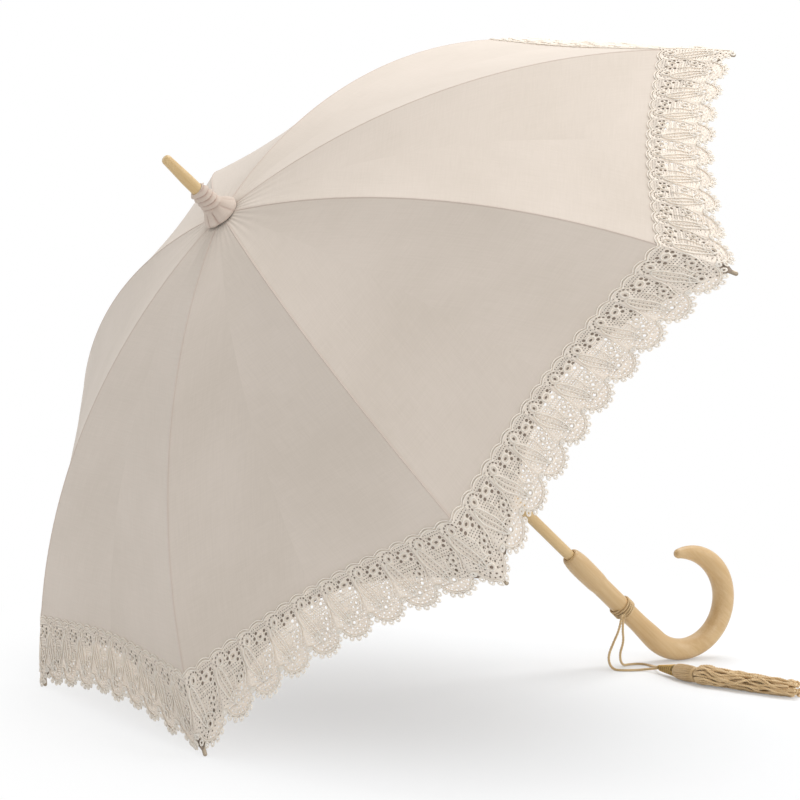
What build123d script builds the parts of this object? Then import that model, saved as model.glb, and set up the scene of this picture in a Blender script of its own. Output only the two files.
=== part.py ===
"""Lace parasol: eight curved ribs on a wooden stick with a crook handle, modelled open.

It leans on the floor as such a parasol is set down: two rib ends and the belly of the
crook touch the floor. Each rib hinges on the crown notch, and a stretcher joins it to the
runner, which slides on the stick. Rib and stretcher are equally long between their pivots,
so the runner travels exactly along the stick while the ribs fold.

Frame: millimetres, +Z up, the floor at Z = 0, +X towards the handle, and the crook in the
plane Y = 0. The origin is under the middle of the bounding box.
"""

import os
from math import asin, atan2, cos, degrees, hypot, pi, radians, sin, tan

from build123d import *

os.makedirs("parts", exist_ok=True)

# ---- ribs and linkage ----
rib_count = 8
canopy_radius = 409.0        # stick axis to the end of a rib, open
canopy_depth = 213.5         # from the rib hinges down to the rib ends, open
rib_rise = 46.0              # bow of a rib above its own chord
rib_diameter = 3.0
hinge_radius = 9.0           # stick axis to the hinge wires
hinge_wire_diameter = 1.2
eye_radius = 1.7             # flattened eye at the end of a rib or stretcher
tongue_thickness = 1.2
tongue_length = 7.5          # flattened length before the round rod starts
joint_at = 208.0             # along the rib from its hinge to the stretcher joint
joint_drop = 2.2             # joint centre below the rib's centre line
lug_radius = 2.5
rivet_diameter = 1.5
rivet_head_diameter = 2.8
rivet_head_height = 0.5
fold_angle = 60.0            # swing of a rib from open to closed

# ---- stretchers ----
stretcher_width = 3.4
stretcher_depth = 2.4
stretcher_wall = 0.6
fork_length = 12.0           # joint centre to the fork's web
fork_web = 3.5
ear_thickness = 0.75
ear_radius = 2.2

# ---- rib tip caps ----
tip_diameter = 3.6
tip_length = 9.5
spigot_diameter = 2.2        # thinned end of the rib inside its cap
spigot_end_gap = 1.6

# ---- stick, crown notch and runner ----
stick_diameter = 10.0
stick_top = 33.0
ferrule_top = 75.7
ferrule_base_diameter = 10.8
ferrule_tip_diameter = 8.6
ferrule_spigot_diameter = 6.0
ferrule_spigot_length = 12.0
collar_radius = 11.5         # crown notch and runner collar
collar_above = 1.1           # collar top above its hinge wire
collar_below = 5.5
slot_width = 1.6
slot_floor_radius = 6.8
notch_pin_diameter = 1.5
notch_pin_drop = 3.5
sleeve_radius = 6.6
sleeve_length = 48.0         # runner wire down to the sleeve's lower rim
sleeve_bead = 0.8
window_width = 3.4
window_top = 28.0            # below the runner wire
window_bottom = 39.0

# ---- catch springs, set into slots in the stick ----
spring_wire = 1.2
spring_width = 1.4
spring_slot_width = 2.2
spring_slot_depth = 7.6      # from the stick's surface inwards
spring_length = 38.0
top_spring_reach = 3.0       # stands this far out of the stick
hand_spring_reach = 3.6
catch_gap = 0.5
spring_azimuth = 90.0        # both springs stand out on the side away from the view

# ---- cloth and lace ----
cloth_thickness = 0.8
cloth_clearance = 0.5        # between a rib and the cloth over it
cloth_inner_radius = 6.6
hem_at_rib = 0.86            # shares of the rib's length
hem_at_mid = 0.825
lace_edge_at_mid = 0.918
hem_power = 1.6              # how the hem swings between rib and middle of a gore
lace_edge_power = 1.8
seam_gap = 0.4               # between neighbouring sections, and cloth to lace
wrap_radius = 6.7            # cloth band wound round the stick above the crown
wrap_bottom = 4.2
wrap_top = 37.0
ruffle_radius = 15.0
ruffle_height = 19.0

# ---- handle ----
handle_top = -472.8
handle_socket = 25.0
handle_mouth_radius = 6.6
handle_shoulder_radius = 8.9
handle_swell_radius = 10.1
handle_waist_radius = 8.8
handle_swell_at = -494.0
handle_waist_top = -528.0
handle_waist_bottom = -572.0
crook_centre_drop = -600.0
crook_radius = 45.0
crook_tube_radius = 10.0
crook_taper_start = 335.0    # degrees round the crook, 180 where it leaves the stick
crook_end = 409.0
crook_end_radius = 4.6

# ---- tassel cord ----
tie_centre = -551.0
tie_turns = 4
cord_diameter = 2.0
tie_pitch = 1.9
knot_azimuth = 228.0
knot_radius = 3.0

# ---- small fits ----
fit = 0.05                   # radial clearance of a pin or spigot in its hole
sliding_fit = 0.10           # radial clearance of the runner and the hinge eyes


# ---- worked out from the sizes above ----
rib_step = 360 / rib_count
chord = (canopy_radius - hinge_radius, -canopy_depth)
chord_length = hypot(*chord)
rib_bow_radius = (chord_length**2 / 4 + rib_rise**2) / (2 * rib_rise)
chord_angle = atan2(chord[1], chord[0])
bow_half_angle = asin(chord_length / 2 / rib_bow_radius)
bow_centre = (
    hinge_radius + chord[0] / 2 + (rib_bow_radius - rib_rise) * sin(chord_angle),
    chord[1] / 2 - (rib_bow_radius - rib_rise) * cos(chord_angle),
)
bow_start = chord_angle + pi / 2 + bow_half_angle
rib_length = 2 * bow_half_angle * rib_bow_radius


def rib_slope(length):
    """Direction of the rib in radians, a given length from its hinge."""
    return bow_start - length / rib_bow_radius - pi / 2


def on_rib(length, rise=0.0):
    """Radius and height of a point along the rib, raised off its centre line."""
    angle = bow_start - length / rib_bow_radius
    reach = rib_bow_radius + rise
    return (bow_centre[0] + reach * cos(angle), bow_centre[1] + reach * sin(angle))


joint = on_rib(joint_at, -joint_drop)
link_length = hypot(joint[0] - hinge_radius, joint[1])
runner_drop = 2 * joint[1]                       # open
link_angle = degrees(atan2(joint[0] - hinge_radius, -joint[1]))
runner_closed_drop = -2 * link_length * cos(radians(link_angle - fold_angle))

# The lean puts the crook's belly and two rib ends on one floor.
first_rib_azimuth = 180 - rib_step / 2
foot = on_rib(rib_length - tip_diameter / 2)
foot_x = foot[0] * cos(radians(first_rib_azimuth))
foot_to_crook = (crook_radius - foot_x, crook_centre_drop - foot[1])
belly_radius = crook_radius + crook_tube_radius
lean = asin((belly_radius - tip_diameter / 2) / hypot(*foot_to_crook)) - atan2(
    foot_to_crook[1], foot_to_crook[0]
)
hinge_height = tip_diameter / 2 - sin(lean) * foot_x - cos(lean) * foot[1]
front_reach = cos(lean) * crook_radius - sin(lean) * crook_centre_drop
front_reach += belly_radius
cloth_outside = rib_diameter / 2 + cloth_clearance + cloth_thickness
back_pull = (cos(lean) * cos(radians(first_rib_azimuth)), -sin(lean))
back_reach = back_pull[0] * bow_centre[0] + back_pull[1] * bow_centre[1]
back_reach -= (rib_bow_radius + cloth_outside) * hypot(*back_pull)
origin_shift = -(front_reach + back_reach) / 2

# The stick's own plane: its z runs up the stick, its x to the crook's open side.
stick = Plane(
    origin=(origin_shift, 0, hinge_height),
    x_dir=(cos(lean), 0, sin(lean)),
    z_dir=(-sin(lean), 0, cos(lean)),
)
stick_axis = Axis(stick.origin, stick.z_dir)


def radial(azimuth):
    """Direction away from the stick at an azimuth in degrees."""
    turn = radians(azimuth)
    return stick.x_dir * cos(turn) + stick.y_dir * sin(turn)


def side_plane(azimuth):
    """Plane holding the stick: local x is the radius, local y is the height."""
    outward = radial(azimuth)
    return Plane(origin=stick.origin, x_dir=outward, z_dir=outward.cross(stick.z_dir))


def on_stick(radius, height, azimuth=0.0):
    """A point in the row frame from radius, height and azimuth on the stick."""
    return stick.origin + radial(azimuth) * radius + stick.z_dir * height


def save(piece, label):
    """Label a finished piece and write it."""
    piece.part.label = label
    export_step(piece.part, f"parts/{label}.step")


rib_azimuths = [first_rib_azimuth + rib_step * n for n in range(rib_count)]
hole_radius = hinge_wire_diameter / 2 + sliding_fit
top_catch = runner_drop - sleeve_length - catch_gap
hand_catch = runner_closed_drop - window_bottom + catch_gap
hand_spring_top = hand_catch + spring_length
stick_bottom = handle_top - handle_socket + catch_gap


# ---- stick with its spigot, pin hole and two spring slots ----
with BuildPart() as shaft:
    with BuildSketch(stick.offset(stick_bottom)):
        Circle(stick_diameter / 2)
    extrude(amount=stick_top - stick_bottom)
    with BuildSketch(stick.offset(stick_top)):
        Circle(ferrule_spigot_diameter / 2)
    extrude(amount=ferrule_spigot_length)
    with BuildSketch(side_plane(90)):
        with Locations((0, -notch_pin_drop)):
            Circle(notch_pin_diameter / 2 + fit)
    extrude(amount=stick_diameter, both=True, mode=Mode.SUBTRACT)
    with BuildSketch(side_plane(spring_azimuth)):
        for slot_top in (top_catch + 1, hand_spring_top + 3):
            with Locations((stick_diameter / 2, slot_top)):
                Rectangle(
                    2 * spring_slot_depth,
                    spring_length + 5,
                    align=(Align.CENTER, Align.MAX),
                )
    extrude(amount=spring_slot_width / 2, both=True, mode=Mode.SUBTRACT)
save(shaft, "shaft")

with BuildPart() as ferrule:
    with BuildSketch(side_plane(0)):
        with BuildLine():
            base = ferrule_base_diameter / 2
            crown = ferrule_tip_diameter / 2
            Polyline(
                (0, ferrule_top),
                (0, stick_top),
                (base, stick_top),
                (base, stick_top + 14),
                (crown, ferrule_top),
                close=True,
            )
        make_face()
    revolve(axis=stick_axis)
    tip_edges = ferrule.edges().filter_by(GeomType.CIRCLE).sort_by(stick_axis)
    fillet(tip_edges[-1], radius=crown * 0.75)
    with BuildSketch(stick.offset(stick_top)):
        Circle(ferrule_spigot_diameter / 2 + fit)
    extrude(amount=ferrule_spigot_length + catch_gap, mode=Mode.SUBTRACT)
save(ferrule, "ferrule")


# ---- crown notch, its hinge wire and its cross pin ----
def hinge_collar(height):
    """Cut the rib slots and the wire groove into the collar being built."""
    for azimuth in rib_azimuths:
        with BuildSketch(side_plane(azimuth)) as slot:
            with Locations((slot_floor_radius, height - collar_below)):
                Rectangle(
                    collar_radius,
                    collar_below + collar_above,
                    align=(Align.MIN, Align.MIN),
                )
        extrude(slot.sketch, amount=slot_width / 2, both=True, mode=Mode.SUBTRACT)
    groove = hinge_wire_diameter / 2 + 0.03
    with BuildSketch(stick.offset(height - groove)) as ring:
        Circle(hinge_radius + groove)
        Circle(hinge_radius - groove, mode=Mode.SUBTRACT)
    extrude(ring.sketch, amount=groove + collar_above, mode=Mode.SUBTRACT)


with BuildPart() as top_notch:
    with BuildSketch(stick.offset(-collar_below)):
        Circle(collar_radius)
        Circle(stick_diameter / 2 + fit, mode=Mode.SUBTRACT)
    extrude(amount=collar_below + collar_above)
    hinge_collar(0)
    with BuildSketch(side_plane(90)):
        with Locations((0, -notch_pin_drop)):
            Circle(notch_pin_diameter / 2 + fit)
    extrude(amount=2 * collar_radius, both=True, mode=Mode.SUBTRACT)
save(top_notch, "top_notch")

with BuildPart() as notch_pin:
    with BuildSketch(side_plane(90)):
        with Locations((0, -notch_pin_drop)):
            Circle(notch_pin_diameter / 2)
    extrude(amount=collar_radius - 0.2, both=True)
save(notch_pin, "notch_pin")


def wire_ring(height):
    """Revolve a hinge wire into the part being built."""
    with BuildSketch(side_plane(0)) as section:
        with Locations((hinge_radius, height)):
            Circle(hinge_wire_diameter / 2)
    revolve(section.sketch, axis=stick_axis)


with BuildPart() as notch_wire:
    wire_ring(0)
save(notch_wire, "notch_wire")

# ---- runner: slotted collar, sleeve with a beaded rim, window for the hand spring ----
with BuildPart() as runner:
    with BuildSketch(side_plane(0)):
        with BuildLine():
            bore = stick_diameter / 2 + sliding_fit
            top = runner_drop + collar_above
            step = runner_drop - collar_below
            rim = runner_drop - sleeve_length
            bead = sleeve_radius + sleeve_bead
            Polyline(
                (bore, rim),
                (bore, top),
                (collar_radius, top),
                (collar_radius, step),
                (sleeve_radius + 1.5, step - 2),
                (sleeve_radius, step - 6),
                (sleeve_radius, rim + 3),
                (bead, rim + 2.2),
                (bead, rim),
                (bore, rim),
            )
        make_face()
    revolve(axis=stick_axis)
    hinge_collar(runner_drop)
    with BuildSketch(side_plane(spring_azimuth)):
        with Locations((stick_diameter / 2 - 1, runner_drop - window_bottom)):
            Rectangle(
                collar_radius,
                window_bottom - window_top,
                align=(Align.MIN, Align.MIN),
            )
    extrude(amount=window_width / 2, both=True, mode=Mode.SUBTRACT)
save(runner, "runner")

with BuildPart() as runner_wire:
    wire_ring(runner_drop)
save(runner_wire, "runner_wire")

# ---- catch springs: bent flat wire that lies in a slot of the stick ----
surface = stick_diameter / 2
with BuildPart() as top_spring:
    with BuildSketch(side_plane(spring_azimuth)):
        with BuildLine():
            FilletPolyline(
                (surface - 5.5, top_catch - spring_length + 1),
                (surface - 2.0, top_catch - spring_length + 1),
                (surface + top_spring_reach - spring_wire / 2, top_catch - 3.2),
                (surface + 1.0, top_catch - spring_wire / 2),
                (surface - 2.0, top_catch - spring_wire / 2),
                radius=0.8,
            )
        trace(line_width=spring_wire)
    extrude(amount=spring_width / 2, both=True)
save(top_spring, "top_spring")

with BuildPart() as bottom_spring:
    with BuildSketch(side_plane(spring_azimuth)):
        with BuildLine():
            FilletPolyline(
                (surface - 5.5, hand_spring_top - 1),
                (surface - 2.0, hand_spring_top - 1),
                (surface + hand_spring_reach - spring_wire / 2, hand_catch + 4.5),
                (surface + 1.4, hand_catch + spring_wire / 2),
                (surface - 2.0, hand_catch + spring_wire / 2),
                radius=0.8,
            )
        trace(line_width=spring_wire)
    extrude(amount=spring_width / 2, both=True)
save(bottom_spring, "bottom_spring")


# ---- ribs, tip caps, stretchers, cloth and lace: one of each per rib ----
def bow_arc(start, length, rise=0.0):
    """Arc along a rib between two lengths, for the line being built."""
    CenterArc(
        bow_centre,
        rib_bow_radius + rise,
        degrees(bow_start - start / rib_bow_radius),
        -degrees(length / rib_bow_radius),
    )


def rod(plane, start, length, diameter, mode=Mode.ADD):
    """Sweep a round rod along the rib's bow inside the part being built."""
    with BuildLine(plane) as path:
        bow_arc(start, length)
    with BuildSketch(Plane(origin=path.line @ 0, z_dir=path.line % 0)) as section:
        Circle(diameter / 2)
    sweep(section.sketch, path=path.line, mode=mode)


cap_start = rib_length - tip_length

for n, azimuth in enumerate(rib_azimuths, start=1):
    plane = side_plane(azimuth)
    with BuildPart() as rib:
        with BuildSketch(plane):
            with Locations((hinge_radius, 0)):
                Circle(eye_radius)
            flat = on_rib(tongue_length / 2 + 1)
            with Locations(flat):
                Rectangle(
                    tongue_length + 2,
                    2 * eye_radius - 0.6,
                    rotation=degrees(rib_slope(tongue_length / 2)),
                )
        extrude(amount=tongue_thickness / 2, both=True)
        rod(plane, tongue_length, cap_start - tongue_length, rib_diameter)
        rod(plane, cap_start, tip_length - tip_diameter / 2 - spigot_end_gap, spigot_diameter)
        with BuildSketch(plane):
            with Locations(joint):
                Circle(lug_radius)
        extrude(amount=rib_diameter / 2, both=True)
        with BuildSketch(plane):
            with Locations((hinge_radius, 0)):
                Circle(hole_radius)
            with Locations(joint):
                Circle(rivet_diameter / 2 + fit)
        extrude(amount=rib_diameter, both=True, mode=Mode.SUBTRACT)
    save(rib, f"rib_{n}")

    with BuildPart() as rib_tip:
        cap_length = tip_length - 0.2 - tip_diameter / 2
        rod(plane, cap_start + 0.2, cap_length, tip_diameter)
        ball = on_rib(rib_length - tip_diameter / 2)
        with BuildSketch(plane):
            with Locations(ball):
                Circle(tip_diameter / 2)
            with Locations(Location((ball[0], ball[1]), degrees(rib_slope(rib_length)))):
                Rectangle(
                    tip_diameter,
                    tip_diameter,
                    align=(Align.CENTER, Align.MIN),
                    mode=Mode.SUBTRACT,
                )
        ball_axis = Vector(cos(rib_slope(rib_length)), sin(rib_slope(rib_length)))
        outward = plane.x_dir * ball_axis.X + plane.y_dir * ball_axis.Y
        ball_centre = plane.from_local_coords((ball[0], ball[1], 0))
        revolve(axis=Axis(ball_centre, outward))
        bore_length = cap_length - spigot_end_gap + 0.5
        rod(plane, cap_start, bore_length, spigot_diameter + 2 * fit, Mode.SUBTRACT)
    save(rib_tip, f"rib_tip_{n}")

    # The stretcher's plane runs from the runner wire to the joint on the rib.
    runner_pivot = plane.from_local_coords((hinge_radius, runner_drop, 0))
    joint_centre = plane.from_local_coords((joint[0], joint[1], 0))
    link = Plane(
        origin=runner_pivot, x_dir=joint_centre - runner_pivot, z_dir=plane.z_dir
    )
    web_end = link_length - fork_length
    with BuildPart() as stretcher:
        with BuildSketch(link):
            Circle(eye_radius)
            Rectangle(
                tongue_length + 2,
                2 * eye_radius - 0.8,
                align=(Align.MIN, Align.CENTER),
            )
        extrude(amount=tongue_thickness / 2, both=True)
        with BuildSketch(link):
            with Locations((tongue_length, 0)):
                Rectangle(
                    web_end - tongue_length,
                    stretcher_depth,
                    align=(Align.MIN, Align.CENTER),
                )
        extrude(amount=stretcher_width / 2, both=True)
        with BuildSketch(link):
            with Locations((tongue_length + 6, -stretcher_depth / 2)):
                Rectangle(
                    web_end - fork_web - tongue_length - 8,
                    stretcher_depth - stretcher_wall,
                    align=(Align.MIN, Align.MIN),
                )
        groove = stretcher_width / 2 - stretcher_wall
        extrude(amount=groove, both=True, mode=Mode.SUBTRACT)
        fork_inside = rib_diameter / 2 + 0.2
        fork_outside = fork_inside + ear_thickness
        with BuildSketch(link):
            with Locations((web_end - fork_web, 0)):
                Rectangle(
                    fork_web,
                    stretcher_depth + 0.6,
                    align=(Align.MIN, Align.CENTER),
                )
        extrude(amount=fork_outside, both=True)
        with BuildSketch(link.offset(fork_inside), link.offset(-fork_outside)):
            with Locations((web_end - 0.5, 0)):
                Rectangle(
                    fork_length + 0.5,
                    stretcher_depth,
                    align=(Align.MIN, Align.CENTER),
                )
            with Locations((link_length, 0)):
                Circle(ear_radius)
                Circle(rivet_diameter / 2 + fit, mode=Mode.SUBTRACT)
        extrude(amount=ear_thickness)
        with BuildSketch(link):
            Circle(hole_radius)
        extrude(amount=stretcher_width, both=True, mode=Mode.SUBTRACT)
        with BuildSketch(link):
            with Locations((link_length, 0)):
                Circle(rivet_diameter / 2)
        extrude(amount=fork_outside + 0.02 + rivet_head_height, both=True)
        head_face = fork_outside + 0.02
        with BuildSketch(
            link.offset(head_face), link.offset(-head_face - rivet_head_height)
        ):
            with Locations((link_length, 0)):
                Circle(rivet_head_diameter / 2)
        extrude(amount=rivet_head_height)
    save(stretcher, f"stretcher_{n}")

    def edge_point(share_at_mid, share_at_rib, power, side, lateral):
        """Plan point on a hem: lateral runs from 0 mid-gore to 1 at the rib."""
        share = share_at_mid + (share_at_rib - share_at_mid) * lateral**power
        across = on_rib(share * rib_length)[0] * cos(radians(rib_step / 2))
        turn = radians(azimuth + side * rib_step / 2)
        sideways = -side * lateral * across * tan(radians(rib_step / 2))
        return (
            across * cos(turn) - sideways * sin(turn),
            across * sin(turn) + sideways * cos(turn),
        )

    def gore_outline(share_at_mid, share_at_rib, power, mode=Mode.ADD):
        """Plan of one rib's share of the canopy, out to a hem."""
        steps = (0.0, 0.25, 0.5, 0.75, 1.0)
        ends = (share_at_mid, share_at_rib, power)
        right = [edge_point(*ends, -1, lateral) for lateral in steps]
        left = [edge_point(*ends, 1, lateral) for lateral in steps]
        with BuildLine() as outline:
            Spline(*right)
            Spline(*left)
            Polyline(left[0], (0, 0), right[0])
        make_face(outline.edges(), mode=mode)

    def section_wedge():
        """Keep the sketch inside this rib's wedge, short of its neighbours."""
        apex = seam_gap / 2 / sin(radians(rib_step / 2))
        side_reach = 2 * canopy_radius
        corners = [
            (
                apex * cos(radians(azimuth)) + side_reach * cos(radians(azimuth + turn)),
                apex * sin(radians(azimuth)) + side_reach * sin(radians(azimuth + turn)),
            )
            for turn in (-rib_step / 2, rib_step / 2)
        ]
        with BuildLine() as wedge:
            Polyline(
                (apex * cos(radians(azimuth)), apex * sin(radians(azimuth))),
                *corners,
                close=True,
            )
        make_face(wedge.edges(), mode=Mode.INTERSECT)

    def gore_shell():
        """The two sloping half gores that meet over the rib, as one thick sheet."""
        inner_rise = rib_diameter / 2 + cloth_clearance
        with BuildSketch(plane) as band:
            with BuildLine():
                bow_arc(-8, rib_length + 16, inner_rise)
                bow_arc(-8, rib_length + 16, inner_rise + cloth_thickness)
                Line(on_rib(-8, inner_rise), on_rib(-8, inner_rise + cloth_thickness))
                Line(
                    on_rib(rib_length + 8, inner_rise),
                    on_rib(rib_length + 8, inner_rise + cloth_thickness),
                )
            make_face()
        half_width = (canopy_radius + 20) * sin(radians(rib_step / 2))
        for side in (1, -1):
            extrude(
                band.sketch,
                amount=half_width,
                dir=radial(azimuth + side * (90 + rib_step / 2)),
            )

    with BuildPart() as canopy:
        gore_shell()
        with BuildSketch(stick.offset(-canopy_depth - 60)):
            gore_outline(hem_at_mid, hem_at_rib, hem_power)
            section_wedge()
            Circle(cloth_inner_radius, mode=Mode.SUBTRACT)
        extrude(amount=canopy_depth + 90, mode=Mode.INTERSECT)
    save(canopy, f"canopy_{n}")

    with BuildPart() as lace:
        gore_shell()
        hem_gap = seam_gap / rib_length
        with BuildSketch(stick.offset(-canopy_depth - 60)):
            gore_outline(lace_edge_at_mid, 1.0, lace_edge_power)
            gore_outline(
                hem_at_mid + hem_gap, hem_at_rib + hem_gap, hem_power, Mode.SUBTRACT
            )
            section_wedge()
            Circle(on_rib(cap_start - 0.5)[0], mode=Mode.INTERSECT)
        extrude(amount=canopy_depth + 90, mode=Mode.INTERSECT)
    save(lace, f"lace_{n}")


# ---- cloth band and gathered ruffle above the crown ----
wrap_bore = stick_diameter / 2 + fit
with BuildPart() as top_wrap:
    with BuildSketch(side_plane(0)):
        with BuildLine():
            Polyline(
                (wrap_bore, wrap_bottom),
                (wrap_bore, stick_top - 0.1),
                (ferrule_base_diameter / 2 + fit, stick_top - 0.1),
                (ferrule_base_diameter / 2 + fit, wrap_top),
                (wrap_radius - 0.4, wrap_top),
                (wrap_radius, wrap_top - 6),
                (wrap_radius - 0.2, wrap_bottom),
                (wrap_bore, wrap_bottom),
            )
        make_face()
    revolve(axis=stick_axis)
save(top_wrap, "top_wrap")

with BuildPart() as top_ruffle:
    with BuildSketch(side_plane(0)):
        with BuildLine():
            inside = wrap_radius + fit
            Polyline((inside, wrap_bottom + ruffle_height), (inside, wrap_bottom))
            Line((inside, wrap_bottom), (ruffle_radius - 2, wrap_bottom - 0.6))
            Spline(
                (ruffle_radius - 2, wrap_bottom - 0.6),
                (ruffle_radius, wrap_bottom + 2),
                (ruffle_radius - 4, wrap_bottom + ruffle_height * 0.5),
                (inside + 1.5, wrap_bottom + ruffle_height),
            )
            Line(
                (inside + 1.5, wrap_bottom + ruffle_height),
                (inside, wrap_bottom + ruffle_height),
            )
        make_face()
    revolve(axis=stick_axis)
save(top_ruffle, "top_ruffle")

# ---- handle: turned grip and bent crook in one piece of wood ----
with BuildPart() as handle:
    with BuildSketch(side_plane(0)):
        with BuildLine():
            Line((0, handle_top), (handle_mouth_radius, handle_top))
            Spline(
                (handle_mouth_radius, handle_top),
                (handle_shoulder_radius, handle_top - 4),
                (handle_swell_radius, handle_swell_at),
                (handle_waist_radius + 0.5, (handle_swell_at + handle_waist_top) / 2 - 4),
                (handle_waist_radius, handle_waist_top),
                tangents=((1, -0.35), (0, -1)),
            )
            Line(
                (handle_waist_radius, handle_waist_top),
                (handle_waist_radius, handle_waist_bottom),
            )
            Spline(
                (handle_waist_radius, handle_waist_bottom),
                (crook_tube_radius, crook_centre_drop),
                tangents=((0, -1), (0, -1)),
            )
            Polyline(
                (crook_tube_radius, crook_centre_drop),
                (0, crook_centre_drop),
                (0, handle_top),
            )
        make_face()
    revolve(axis=stick_axis)
    crook_centre = (crook_radius, crook_centre_drop)
    with BuildLine(side_plane(0)) as belly:
        CenterArc(crook_centre, crook_radius, 180, crook_taper_start - 180)
    with BuildSketch(Plane(origin=belly.line @ 0, z_dir=belly.line % 0)):
        Circle(crook_tube_radius)
    sweep(path=belly.line)
    with BuildLine(side_plane(0)) as nose:
        CenterArc(
            crook_centre, crook_radius, crook_taper_start, crook_end - crook_taper_start
        )
    taper_shares = (0.0, 0.35, 0.7, 1.0)
    for share in taper_shares:
        shrink = (crook_tube_radius - crook_end_radius) * share**2.2
        with BuildSketch(Plane(origin=nose.line @ share, z_dir=nose.line % share)):
            Circle(crook_tube_radius - shrink)
    sweep(path=nose.line, multisection=True)
    nose_end = nose.line @ 1
    nose_dir = nose.line % 1
    nose_plane = Plane(origin=nose_end, x_dir=nose_dir, z_dir=side_plane(0).z_dir)
    with BuildSketch(nose_plane):
        with BuildLine():
            EllipticalCenterArc((0, 0), crook_end_radius * 1.1, crook_end_radius, arc_size=90)
            Polyline((0, crook_end_radius), (0, 0), (crook_end_radius * 1.1, 0))
        make_face()
    revolve(axis=Axis(nose_end, nose_dir))
    with BuildSketch(side_plane(0)):
        with BuildLine():
            socket = stick_diameter / 2 + fit
            floor_of_socket = handle_top - handle_socket
            Polyline(
                (0, floor_of_socket),
                (socket, floor_of_socket),
                (socket, handle_top - 1.2),
                (socket + 0.7, handle_top),
                (socket + 0.7, handle_top + 1),
                (0, handle_top + 1),
                (0, floor_of_socket),
            )
        make_face()
    revolve(axis=stick_axis, mode=Mode.SUBTRACT)
save(handle, "handle")

# ---- cord tied round the grip, with its knot ----
tie_radius = handle_waist_radius + fit + cord_diameter / 2
knot_at = on_stick(handle_waist_radius + fit + knot_radius, tie_centre - 1, knot_azimuth)
with BuildPart() as cord_wrap:
    for turn in range(tie_turns):
        with BuildSketch(side_plane(0)):
            with Locations((tie_radius, tie_centre + (turn - tie_turns / 2 + 0.5) * tie_pitch)):
                Circle(cord_diameter / 2)
        revolve(axis=stick_axis)
    with Locations(knot_at):
        Sphere(knot_radius)
save(cord_wrap, "cord_wrap")


# ---- two limp strands from the knot to the tassel ----
def strand(route, label):
    """A cord of straight runs and the largest tangent arcs that they allow."""
    points = [Vector(*point) for point in route]
    runs = [after - before for before, after in zip(points, points[1:])]
    radii = [
        0.45 * min(first.length, second.length)
        / tan(radians(first.get_angle(second)) / 2)
        for first, second in zip(runs, runs[1:])
    ]
    with BuildPart() as cord:
        with BuildLine() as path:
            FilletPolyline(*points, radius=radii)
        with BuildSketch(Plane(origin=path.line @ 0, z_dir=path.line % 0)):
            Circle(cord_diameter / 2)
        sweep(path=path.line)
    save(cord, label)
    print(label, "radii", [round(radius, 1) for radius in radii])
    print(label, "runs", [round(run.length, 1) for run in runs])
    section = pi * cord_diameter**2 / 4
    tube_length = path.wire().length
    volume_share = cord.part.volume / (section * tube_length)
    print(label, f"length {tube_length:.1f}, volume share {volume_share:.4f}")


strand(
    [
        (190.9, -10.0, 50.0),
        (188.2, -11.5, 38.0),
        (181.5, -11.0, 25.0),
        (176.5, -9.5, 11.5),
        (178.5, -14.0, 1.1),
        (187.0, -22.0, 1.1),
        (198.5, -26.5, 1.1),
        (207.0, -31.0, 2.4),
        (208.9, -42.0, 5.2),
    ],
    "tassel_cord_a",
)
strand(
    [
        (193.4, -9.2, 50.0),
        (191.3, -10.6, 37.5),
        (193.4, -10.2, 25.0),
        (190.5, -7.5, 12.5),
        (195.5, -4.5, 1.4),
        (207.0, -0.5, 1.1),
        (219.0, -3.5, 1.1),
        (220.5, -16.0, 1.1),
        (216.0, -28.0, 2.6),
        (211.3, -41.5, 5.6),
    ],
    "tassel_cord_b",
)

# ---- tassel: wound cap, covered head and a skirt of cords, lying on the floor ----
cap_nose = Vector(210.0, -41.0, 5.4)
cap_base = Vector(211.8, -64.5, 7.4)
tassel_neck = Vector(214.0, -91.0, 8.1)
skirt_end = Vector(259.0, -178.0, 6.6)
cap_nose_radius = 2.6
cap_base_radius = 5.0
head_radius = 7.6
neck_radius = 4.6


def lying_plane(start, end):
    """Plane through a lying piece: local x is its length, local y points up."""
    along = (end - start).normalized()
    return Plane(origin=start, x_dir=along, z_dir=along.cross(Vector(0, 0, 1)))


def turned(start, end, outline):
    """Revolve an outline of (length, radius) points about the line start to end."""
    length = (end - start).length
    with BuildSketch(lying_plane(start, end)) as section:
        with BuildLine():
            Spline(*outline)
            Polyline(outline[-1], (length, 0), (0, 0), outline[0])
        make_face()
    revolve(section.sketch, axis=Axis(start, end - start))


cap_length_along = (cap_base - cap_nose).length
with BuildPart() as tassel_cap:
    turned(
        cap_nose,
        cap_base,
        [
            (0, cap_nose_radius),
            (cap_length_along * 0.5, (cap_nose_radius + cap_base_radius) / 2 + 0.4),
            (cap_length_along, cap_base_radius),
        ],
    )
save(tassel_cap, "tassel_cap")

head_length = (tassel_neck - cap_base).length
with BuildPart() as tassel_head:
    turned(
        cap_base,
        tassel_neck,
        [
            (0, cap_base_radius),
            (head_length * 0.2, head_radius * 0.92),
            (head_length * 0.5, head_radius),
            (head_length * 0.8, head_radius * 0.85),
            (head_length, neck_radius),
        ],
    )
save(tassel_head, "tassel_head")

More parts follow.
